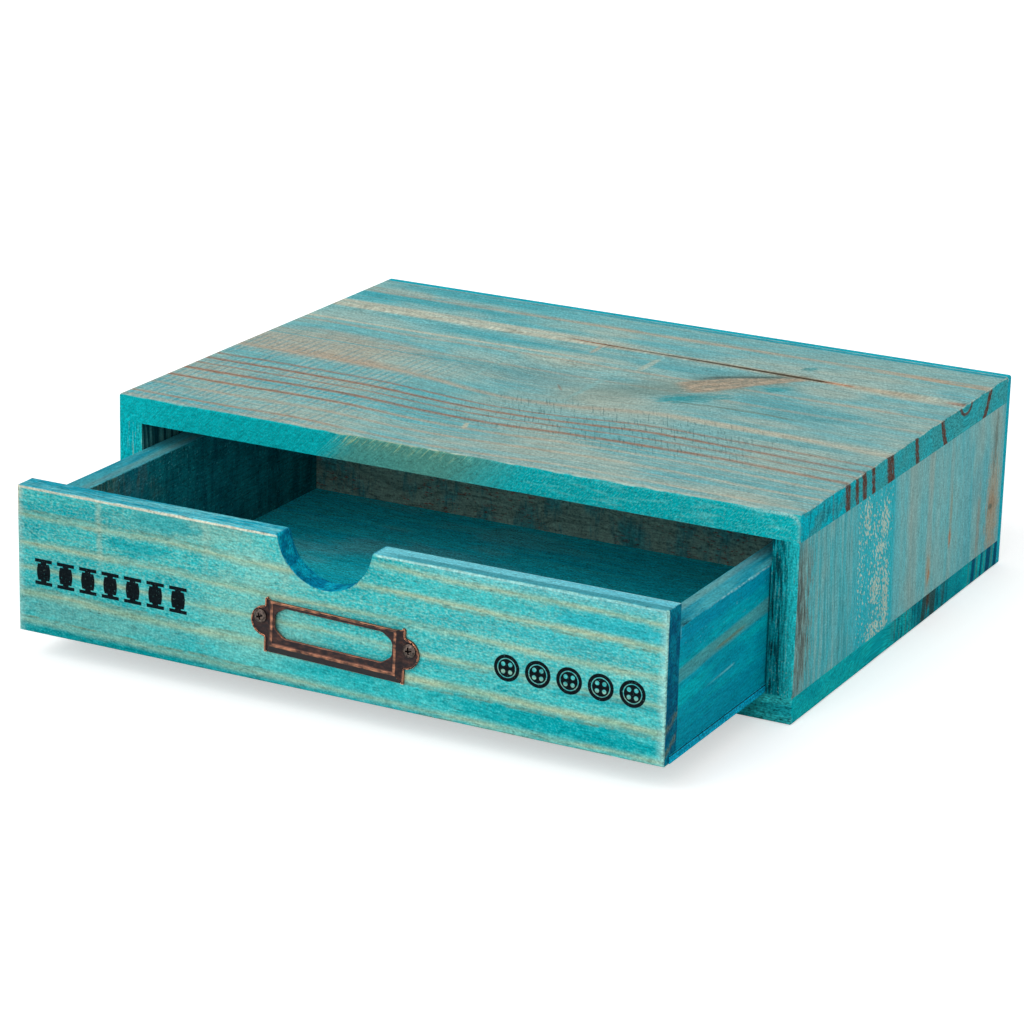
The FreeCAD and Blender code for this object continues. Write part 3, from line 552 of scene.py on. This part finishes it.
wood = Finish("stained_front")
x, y, z = wood.x, wood.y, wood.z
ring = z + x * band_slope - (y + 215) * 0.55 + wood.noise(x / 60, z / 30, y / 9, 2) * 3 - 1.5
clouds = wood.noise(x / 42, z / 8, y / 9, 3)
dabs = wood.noise(x / 6, z / 4, y / 3, 3)
stipple = wood.noise(x / 1.6, z / 0.9, y / 1, 3)
colour = wood.mix(clouds.rise(0.3, 0.6), turquoise, cyan)
colour = wood.mix(dabs.rise(0.42, 0.66) * (0.18 + 0.14 * x.rise(-90, -20)), colour, stain(104, 200, 194))
colour = wood.mix(stipple.rise(0.42, 0.7) * (0.12 + 0.34 * z.rise(18, 50)), colour, stain(160, 212, 196))
colour = wood.mix(stipple.rise(0.5, 0.28) * 0.4, colour, stain(0, 156, 168))
# The entry at (2, 22.5), a darker teal band just under the label holder, is painted shade from the holder.
for patch_x, patch_z, wide, tall, tint, strength in [(122, 65, 34, 5, stain(0, 174, 186), 0.85), (105, 20, 64, 6, stain(0, 160, 168), 0.95),
                                                     (-100, 12.5, 70, 3, stain(0, 144, 152), 0.8), (-60, 70, 40, 7, sage, 0.3),
                                                     (-34, 62, 22, 10, stain(140, 206, 194), 0.5), (-32, 36, 32, 26, stain(150, 204, 182), 0.35), (-110, 24, 46, 7, sage, 0.2),
                                                     (60, 66, 30, 4, cyan, 0.6), (118, 35.5, 40, 3.5, turquoise, 0.5), (112, 55.5, 40, 3.5, stain(30, 186, 196), 0.45),
                                                     (20, 20, 70, 5, stain(34, 176, 180), 0.4), (2, 22.5, 34, 3, stain(10, 162, 168), 0.6), (-78, 71, 17, 4.5, turquoise, 0.7), (-90, 58, 16, 3.5, turquoise, 0.7)]:
    spread = ((x - patch_x) / wide).away((z - patch_z) / tall) + (clouds - 0.5) * 1.4 + (dabs - 0.5) * 1.4
    colour = wood.mix(spread.rise(1.2, 0.4) * strength, colour, tint)
foot = (z + (dabs - 0.5) * 4).rise(18, 14.6) * x.rise(30, -30)
colour = wood.mix(foot * 0.8, colour, stain(0, 150, 156))
broken = wood.noise(x / 40, ring / 3, y / 3, 2).rise(0.22, 0.52)
ragged = ring + dabs * 1.4 - 0.7
banded = wood.lines(ragged, 0, 80, bands) + wood.lines(ragged, 0, 80, top_band) * x.rise(8, 30)
colour = wood.mix(banded.rise(0, 0.95) * (0.36 + 0.52 * broken), colour, wood.mix(clouds.rise(0.4, 0.6), stain(146, 184, 156), sage))
colour = wood.mix(z.rise(70, 75) * x.rise(30, 60) * 0.35, colour, stain(130, 206, 212))
for stripe_x, half, low_z, strength in [(-108.5, 2.6, 50, 0.6), (-57, 3, 58, 0.35), (-20, 4, 50, 0.25)]:
    stripe = (x + (z - 60) * 0.03 + (dabs - 0.5) * 3).hump(stripe_x, 0, half) * z.rise(low_z - 8, low_z + 6) * (0.5 + 0.5 * stipple)
    colour = wood.mix(stripe * strength, colour, stain(178, 206, 184))
scratch = wood.noise(x / 7, z / 0.5, y, 1).rise(0.68, 0.76) * wood.noise(x / 40, z / 14, y, 1).rise(0.46, 0.56)
colour = wood.mix(scratch * 0.8, colour, stain(30, 80, 76))
upper_edges = wood.lines(ring, 0, 80, [(17.6, 0.9, 0.8), (30.2, 1, 0.6), (64.3, 0.9, 0.6), (51.9, 0.9, 0.4)])
lower_edges = wood.lines(ring, 0, 80, [(13.8, 0.8, 0.8), (25.2, 0.9, 0.7), (36.8, 0.8, 0.5), (60.3, 0.8, 0.6)])
edged = upper_edges * x.rise(20, -60) + lower_edges * x.rise(0, 60)
colour = wood.mix(edged * dabs.rise(0.36, 0.56) * 0.85, colour, stain(126, 132, 96))

# the stamped rows: five-ring counts and places come from the widths they fill
row_z, row_half = 39.8, 5.6
ink = 0
for first_x, last_x, count, stamp in [(-142, -65, 7, "spool"), (74, 142, 5, "button")]:
    pitch = (last_x - first_x) / count
    span = ((x - first_x) / pitch).math("FRACT", (x - first_x) / pitch)
    u, w = (span - 0.5) * pitch, z - row_z
    within = x.rise(first_x - 0.1, first_x) * x.rise(last_x + 0.1, last_x)
    if stamp == "spool":
        flange = u.hump(0, 4.1, 0.3) * w.size().hump(row_half - 0.7, 0.65, 0.25)
        neck = u.hump(0, 1.3, 0.3) * w.hump(0, row_half - 1, 0.3)
        thread = (u.size() + (w / 3.4) * (w / 3.4) * 0.5).rise(3.5, 3.2) * w.hump(0, row_half - 2.1, 0.25)
        print_mark = flange.most(neck).most(thread)
    else:
        radius = u.away(w)
        holes = (u.size() - 1.55).away(w.size() - 1.55).rise(0.75, 1.05)
        print_mark = radius.hump(row_half - 0.75, 0.6, 0.3).most(radius.rise(3.9, 3.6) * holes)
    ink = print_mark * within + ink
worn_ink = ink * (1 - wood.noise(x / 0.9, z / 0.9, y, 3).rise(0.62, 0.74) * 0.3)

top_edge, end = wood.up.rise(0.5, 0.8), wood.east.size().rise(0.5, 0.8)
edge_colour = wood.mix(wood.noise(x / 50, y / 3, z, 3).rise(0.36, 0.6), stain(30, 181, 206), stain(108, 212, 223))
edge_colour = wood.mix(x.rise(-40, 40) * 0.6, edge_colour, stain(126, 212, 226))
rasped = wood.noise(x / 6, y / 0.7, z, 3)
edge_colour = wood.mix(rasped.rise(0.5, 0.36) * x.rise(10, -30) * 0.55, edge_colour, stain(24, 104, 124))
edge_colour = wood.mix(rasped.rise(0.56, 0.68) * x.rise(10, -30) * 0.6, edge_colour, stain(150, 204, 208))
# painted shade: a darker band along the top edge just behind the front arris, on the right half
painted_shade_band = (y + (rasped - 0.5) * 1.5).rise(-210, -211.4) * x.rise(14, 40) * (0.8 + 0.2 * dabs)
edge_colour = wood.mix(painted_shade_band * 0.85, edge_colour, stain(56, 146, 158))
edge_colour = wood.mix(y.rise(-205.6, -204.6) * x.rise(20, 110) * 0.5, edge_colour, stain(178, 216, 220))
colour = wood.mix(top_edge * z.rise(74, 75.4), colour, edge_colour)
end_colour = wood.mix(wood.noise(y / 5, z / 9, x, 3).rise(0.4, 0.62), stain(0, 89, 121), stain(0, 122, 146))
end_colour = wood.mix(wood.lines(ring, 0, 80, [(18, 2.4, 0.9), (28, 3, 0.9)]) * dabs.rise(0.34, 0.5), end_colour, stain(92, 112, 98))
colour = wood.mix(end, colour, end_colour)
scooped = ((x + 1.8).away(z - 78.2)).rise(23.6, 22.2) * (0 - wood.north).rise(0.75, 0.4) * wood.north.rise(0.75, 0.4)
scoop_colour = wood.mix(wood.noise(x / 4, y / 6, z / 4, 3).rise(0.4, 0.62), stain(0, 121, 156), stain(8, 166, 192))
colour = wood.mix(scooped, colour, scoop_colour)
behind = wood.north.rise(0.5, 0.8)
colour = wood.mix(behind, colour, wood.mix(clouds.rise(0.4, 0.6), stain(30, 122, 132), stain(58, 150, 154)))
facing_out = (0 - wood.north).rise(0.5, 0.8)
rubbed = wood.arris("drawer_front") + wood.noise(x / 9, y / 6, z / 9, 2) * 1.4 - 0.5 + y.rise(-209, -207) * 9
rubbed = rubbed - x.size().rise(147.8, 148.6) * y.rise(-213.9, -214.5)
warm = x.rise(-20, -30) * z.rise(60, 70)
pale_arris = z.hump(75.4, 0.15, 0.55) * (x.rise(-23, -25) * 0.85 + x.rise(20, 24) * (0.85 - 0.45 * x.rise(40, 120))) * dabs.rise(0.2, 0.45)
pale_arris = pale_arris.most(x.size().rise(145, 149) * dabs.rise(0.25, 0.5) * 0.5)
colour = wood.mix(pale_arris * facing_out, colour, wood.mix(warm, stain(176, 226, 220), stain(232, 226, 202)))
colour = wood.mix(rubbed.rise(0.7, 0.2) * 0.75, colour, wood.mix(warm, stain(150, 214, 204), stain(226, 220, 196)))
colour = wood.mix(x.rise(20, 80) * z.rise(26, 42) * facing_out * 0.04, colour, stain(196, 218, 202))
colour = wood.shade(colour, 1 - 0.13 * x.rise(-30, -110))
colour = wood.mix(worn_ink * facing_out, colour, stain(16, 24, 28))
front_board.data.materials.append(wood.grained(colour, x * 1.4, ring, y,
                                               contrast=1.1 + end.most(scooped) * 0.9, dust=facing_out * (1 - worn_ink) * 0.06))


# ---- Drawer walls -----------------------------------------------------------
# The two side walls and the back wall, nailed together behind the front. The
# sides are stained a strong blue outside; inside, all three are nearly raw from
# the saw, with brown flecks where the stain missed.

def drawer_wall(node, name, joints):
    """A wall of the drawer, with its top arrises rubbed down."""
    wall = finer(node, name, 3)
    sand(wall, 0.1, 40, joints)
    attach(wall, "drawer")
    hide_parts(node)
    return wall


for side, node in [(-1, "drawer_left_side"), (1, "drawer_right_side")]:
    wall = drawer_wall(node, node + "_sanded", [(1, -204), (2, 15.7)])
    wood = Finish(node + "_stain")
    x, y, z = wood.x, wood.y, wood.z
    ring = z - (y + 160) * 0.045 + wood.noise(y / 50, z / 20, x / 9, 2) * 4 - 2
    streaks = wood.noise(y / 60, ring / 4, x / 6, 3)
    clouds = wood.noise(y / 24, z / 10, x / 9, 3)
    colour = wood.mix(clouds.rise(0.36, 0.62), stain(0, 158, 176), stain(0, 180, 192))
    colour = wood.mix(streaks.rise(0.58, 0.44) * 0.35, colour, stain(0, 142, 178))
    colour = wood.mix(z.rise(56, 62) * 0.75, colour, stain(0, 143, 177))
    colour = wood.mix(z.rise(30, 26) * 0.55, colour, stain(0, 138, 166))
    grey_bands = wood.lines(ring, 0, 80, [(48, 4.4, 1)]).rise(0.1, 0.5)
    colour = wood.mix(grey_bands * (0.4 + 0.4 * streaks), colour, stain(92, 162, 158))
    brown_line = (ring - 46.8).hump(0, 0.3, 0.9) * y.hump(-156, 8, 10)
    pale_line = (z - 34.2 - (y + 165) * 0.05).hump(0, 0, 0.8) * y.rise(-182, -156) * y.rise(-150, -154)
    colour = wood.mix(brown_line * 0.6, colour, stain(112, 124, 96))
    colour = wood.mix(pale_line * 0.75, colour, stain(110, 200, 206))
    specks = wood.noise(y / 1.6, z / 1.2, x, 2).rise(0.68, 0.76) * z.rise(48, 54)
    colour = wood.mix(specks * 0.6, colour, stain(110, 190, 204))
    inside = (wood.east * -side).rise(0.5, 0.8)
    saw = wood.noise(y / 2.6, z / 15, x / 4, 3) * 0.5 + wood.noise(y / 7, z / 20, x / 4, 2) * 0.5
    missed = wood.noise(y / 9, z / 9, x, 3)
    raw = wood.mix(saw.rise(0.32, 0.68), stain(6, 102, 112), stain(30, 142, 148))
    comb = wood.noise(y / 1.3, z / 9, x, 3)
    brown = (((y + 178) / 44).away((z - 54) / 17) + (missed - 0.5) * 2).rise(1.3, 0.4)
    raw = wood.mix(brown * 0.65, raw, wood.mix(comb.rise(0.4, 0.6), stain(48, 100, 94), stain(118, 126, 104)))
    raw = wood.mix(wood.noise(y / 1.1, z / 1.1, x, 2).rise(0.59, 0.69) * (0.5 + 0.4 * z.rise(50, 62)), raw, stain(104, 176, 180))
    raw = wood.mix((y + missed * 20).hump(-138, 6, 12) * 0.2, raw, stain(0, 122, 158))
    colour = wood.mix(inside, colour, raw)
    over = wood.up.rise(0.5, 0.8)
    grooves = wood.noise(y / 40, x / 3.5, z, 3)
    over_colour = wood.mix(grooves.rise(0.3, 0.64), stain(20, 146, 170), stain(72, 170, 182))
    over_colour = wood.mix((x * side - 140).size().rise(3, 0.5) * 0.4, over_colour, stain(130, 160, 150))
    colour = wood.mix(over, colour, over_colour)
    rubbed = wood.arris(node) + wood.noise(y / 9, z / 9, x / 3, 2) * 2.4 - 1.2
    colour = wood.mix(rubbed.rise(0.9, 0.1) * z.rise(60, 64) * (1 - inside) * 0.45, colour, stain(110, 200, 210))
    dotted = wood.noise(y / 2, z / 2, x / 2, 2).rise(0.46, 0.56) * y.rise(-176, -160)
    colour = wood.mix(wood.arris(node).rise(0.8, 0.2) * z.rise(65, 66) * (x * side).rise(147, 148) * dotted * 0.5, colour, stain(190, 232, 230))
    wall.data.materials.append(wood.grained(colour, y, ring, x, marks=saw * inside * 1.6,
                                            contrast=1 + inside * 0.7, dust=0))

wall = drawer_wall("drawer_back", "drawer_back_sanded", [(0, -137.3), (0, 137.3), (2, 15.7)])
wood = Finish("drawer_back_stain")
x, y, z = wood.x, wood.y, wood.z
swirl = z + wood.noise(x / 40, z / 24, y, 1) * 26
veins = wood.noise(x / 60, swirl / 1.6, y / 5, 3)
blotch = wood.noise(x / 11, z / 18, y, 3)
colour = wood.mix(blotch.rise(0.5 - 0.1 * x.rise(0, 90), 0.72) * 0.8, stain(136, 158, 146), stain(40, 148, 154))
colour = wood.mix(veins.rise(0.52, 0.62) * veins.rise(0.7, 0.62) * 0.45, colour, stain(70, 92, 88))
teeth = wood.noise(x / 1.4, z / 12, y, 2)
colour = wood.mix(teeth.rise(0.5, 0.62) * blotch.rise(0.44, 0.56) * 0.5, colour, stain(0, 110, 120))
flecks = wood.noise(x / 2.8, z / 0.9, y, 2).rise(0.6, 0.67) * wood.noise(x / 30, z / 20, y, 1).rise(0.4, 0.56)
colour = wood.mix(flecks * 0.8, colour, stain(136, 64, 54))
for knot_x, knot_z, wide, tall in [(8, 58, 14, 9), (-104, 44, 7, 5), (98, 30, 6, 4)]:
    knot = ((x - knot_x) / wide).away((z - knot_z) / tall) + (blotch - 0.5) * 3
    colour = wood.mix(knot.rise(1.3, 0.3) * wide / 18, colour, stain(0, 84, 96))
    colour = wood.mix(knot.hump(1.5, 0.06, 0.12) * 0.3, colour, stain(58, 66, 58))
outside = wood.north.rise(0.5, 0.8)
colour = wood.mix(outside, colour, wood.mix(veins.rise(0.4, 0.6), stain(10, 136, 152), stain(60, 166, 174)))
wall.data.materials.append(wood.grained(colour, x * 1.5, z, y, contrast=1.7, dust=0.02))


# ---- Drawer bottom ----------------------------------------------------------
# Three-ply birch under the walls. Its face is a plain dark teal and its edge, a
# bright blue, stands a hair proud of the walls.

ply = finer("drawer_bottom", "drawer_bottom_ply", 5)
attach(ply, "drawer")
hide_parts("drawer_bottom")

wood = Finish("stained_ply")
x, y, z = wood.x, wood.y, wood.z
veneer = wood.noise(x / 60, y / 4, z, 3)
colour = wood.mix(veneer.rise(0.3, 0.7), stain(8, 200, 222), stain(46, 212, 226))
colour = wood.mix(wood.noise(x / 50, y / 22, z, 2).rise(0.5, 0.66) * x.rise(60, -60) * 0.5, colour, stain(120, 196, 200))
figure = wood.noise(x / 120, y / 14, z, 2, 1.4)
bare = wood.mix((figure * 60).wave().rise(-0.4, 0.8) * 0.5, stain(58, 138, 138), stain(30, 112, 122))
colour = wood.mix((0 - wood.up).rise(0.5, 0.8), colour, bare)
edge = 1 - wood.up.size().rise(0.5, 0.8)
layer = z.hump(13.95, 0.55, 0.15)
edge_colour = wood.mix(layer * 0.5, stain(0, 178, 212), stain(0, 136, 176))
# painted shade: the top of the edge, in the seam just under the walls, is painted dark
edge_colour = wood.mix(z.rise(14.9, 15.3), edge_colour, stain(0, 60, 84))
edge_colour = wood.mix(wood.noise(x / 5, y / 5, z / 0.8, 2).rise(0.56, 0.7) * 0.5, edge_colour, stain(24, 92, 120))
colour = wood.mix(edge, colour, edge_colour)
ply.data.materials.append(wood.grained(colour, x * 1.5, y, z, contrast=2, dust=0.03))


# ---- Label holder -----------------------------------------------------------
# A pressed brass card frame with two screw ears, copper plated, blackened, and
# rubbed bright again along its ridges and bead. Faces turned up are painted
# lighter and faces turned down darker, as painted light and shade.

def rubbed_edges(piece, reach):
    """Stores how far each vertex stands out from its neighbours, so a finish can rub it bright."""
    data = piece.data
    around = [[] for vertex in data.vertices]
    for first, second in [edge.vertices for edge in data.edges]:
        around[first].append(second)
        around[second].append(first)
    proud = []
    for vertex, others in zip(data.vertices, around):
        lean = [(vertex.co - data.vertices[other].co).normalized().dot(vertex.normal) for other in others]
        proud.append(max(0, min(1, sum(lean) / max(1, len(lean)) / reach)))
    rub = data.attributes.new("rub", "FLOAT", "POINT")
    rub.data.foreach_set("value", proud)


holder = finer("label_holder", "label_holder_plated", 0.5)
rubbed_edges(holder, 0.35)
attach(holder, "drawer")
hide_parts("label_holder")

metal = Finish("antique_copper")
x, y, z = metal.x, metal.y, metal.z
rub = metal.add("ShaderNodeAttribute", {"attribute_name": "rub"}, {}, "Fac")
tarnish = metal.noise(x / 3, z / 1.6, y / 2, 3)
ridge = (0 - y - 215).rise(2.2, 2.42)
black_brown, brown, copper = stain(30, 22, 26), stain(112, 72, 58), stain(224, 154, 118)
# painted light and shade: faces turned up are mixed towards the lighter brown and faces turned down towards the
# black-brown, along with the tarnish
colour = metal.mix((metal.up * 0.7 + tarnish * 0.9).rise(0.32, 1), black_brown, brown)
bright = (rub.most(ridge * (0.32 + 0.3 * metal.noise(x / 9, z / 4, y, 1))) + (tarnish - 0.5) * 0.6).rise(0.3, 0.8)
colour = metal.mix(bright, colour, copper)
height = metal.noise(x / 0.8, z / 0.8, y / 0.8, 2)
bump = metal.add("ShaderNodeBump", {}, {"Height": height, "Distance": 0.04 * MM, "Strength": 1})
holder.data.materials.append(metal.close(colour, 0.52 - bright * 0.16 + tarnish * 0.1, bump, 0.55 + bright * 0.4))


# ---- Screws -----------------------------------------------------------------
# Two small round-head cross screws of blackened steel that pin the holder's
# ears, each stopped at its own angle.

crown_height, crown_curve = 2.5, 0.131
for side in ("left", "right"):
    screw = finer("label_screw_" + side, "cross_screw_" + side, 0.8)
    rubbed_edges(screw, 0.3)
    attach(screw, "drawer")
    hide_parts("label_screw_" + side)
    metal = Finish("black_steel_" + side)
    rub = metal.add("ShaderNodeAttribute", {"attribute_name": "rub"}, {}, "Fac")
    scuffs = metal.noise(metal.x / 0.9, metal.z / 0.9, metal.y, 3)
    low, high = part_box("label_screw_" + side)
    middle_x, middle_z = [(low[axis] + high[axis]) / 2 / MM for axis in (0, 2)]
    radius = (metal.x - middle_x).away(metal.z - middle_z)
    sunk = metal.y + 215 + crown_height - radius * radius * crown_curve
    colour = metal.mix((scuffs + rub * 0.5).rise(0.35, 0.8), stain(44, 38, 36), stain(116, 102, 94))
    # painted shade: the cross recess, and the rim of the head where it meets the ear, are painted near black
    colour = metal.mix(sunk.rise(0.12, 0.3).most(radius.hump(3.1, 0.1, 0.3)), colour, stain(14, 11, 13))
    bump = metal.add("ShaderNodeBump", {}, {"Height": scuffs, "Distance": 0.03 * MM, "Strength": 1})
    screw.data.materials.append(metal.close(colour, 0.34 + scuffs * 0.2, bump, 0.85))


# ---- Brads and staples ------------------------------------------------------
# The bright wire that holds the boards together: flat brads driven below the
# surface, and staples whose crowns lie flush on the back and under the drawer.

metal = Finish("galvanised_wire")
drawn = metal.noise(metal.x / 3, metal.y / 3, metal.z / 0.3, 3)
colour = metal.mix(drawn.rise(0.4, 0.6), stain(150, 152, 154), stain(196, 198, 200))
bump = metal.add("ShaderNodeBump", {}, {"Height": drawn, "Distance": 0.02 * MM, "Strength": 1})
wire = metal.close(colour, 0.36 + drawn * 0.2, bump, 0.9)
for name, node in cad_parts.items():
    if name.endswith(("_brads", "_staples")):
        node.data.materials.clear()
        node.data.materials.append(wire)


# ---- Studio -----------------------------------------------------------------
# A pale seamless floor under an even tent of light, with one broad lamp high on
# the left that gives the box its soft shadow.

camera_place = (0.6811, -1.3800, 0.5306)
camera_turn = (71.951, -1.361, 27.680)
lens_length = 126.4
sensor_width = 36
floor_reach = 12
floor_lift = 0.5
tent_light = 0.54
lamps = [("window", 0.98, 35, (46, 0, -24)), ("front", 0.52, 30, (68, 0, 6))]

camera = bpy.data.objects.new("camera", bpy.data.cameras.new("camera"))
camera.data.lens = lens_length
camera.data.sensor_width = sensor_width
camera.location = camera_place
camera.rotation_euler = [radians(turn) for turn in camera_turn]
bpy.context.scene.collection.objects.link(camera)
bpy.context.scene.camera = camera

floor_mesh = bpy.data.meshes.new("floor")
floor_mesh.from_pydata([(-floor_reach, -floor_reach, 0), (floor_reach, -floor_reach, 0),
                        (floor_reach, floor_reach, 0), (-floor_reach, floor_reach, 0)], [], [(0, 1, 2, 3)])
floor = bpy.data.objects.new("floor", floor_mesh)
bpy.context.scene.collection.objects.link(floor)
paper = Finish("pale_paper")
seen = [paper.add("ShaderNodeLightPath", output=f"Is {ray} Ray") for ray in ("Camera", "Glossy", "Transmission")]
glow = paper.add("ShaderNodeEmission", {}, {"Strength": sum(seen) * floor_lift})
paper.feed(paper.surface.inputs["Base Color"], (0.9, 0.9, 0.9, 1))
paper.feed(paper.surface.inputs["Roughness"], 1)
lit = paper.add("ShaderNodeAddShader", {}, [Value(paper, paper.surface.outputs[0]), glow])
paper.feed(paper.tree.nodes["Material Output"].inputs["Surface"], lit)
floor_mesh.materials.append(paper.material)

tent = bpy.data.worlds.new("tent")
bpy.context.scene.world = tent
tent.use_nodes = True
nodes, links = tent.node_tree.nodes, tent.node_tree.links
rays, add = nodes.new("ShaderNodeLightPath"), nodes.new("ShaderNodeMapRange")
both = nodes.new("ShaderNodeMath")
both.operation = "ADD"
links.new(rays.outputs["Is Camera Ray"], both.inputs[0])
links.new(rays.outputs["Is Glossy Ray"], both.inputs[1])
links.new(both.outputs[0], add.inputs["Value"])
add.inputs["To Min"].default_value = tent_light
add.inputs["To Max"].default_value = 1
nodes["Background"].inputs["Color"].default_value = (1, 1, 1, 1)
links.new(add.outputs["Result"], nodes["Background"].inputs["Strength"])

for name, power, spread, turn in lamps:
    lamp = bpy.data.objects.new(name, bpy.data.lights.new(name, "SUN"))
    lamp.data.energy = power
    lamp.data.angle = radians(spread)
    lamp.rotation_euler = [radians(angle) for angle in turn]
    bpy.context.scene.collection.objects.link(lamp)
bpy.context.scene.view_settings.view_transform = "Standard"
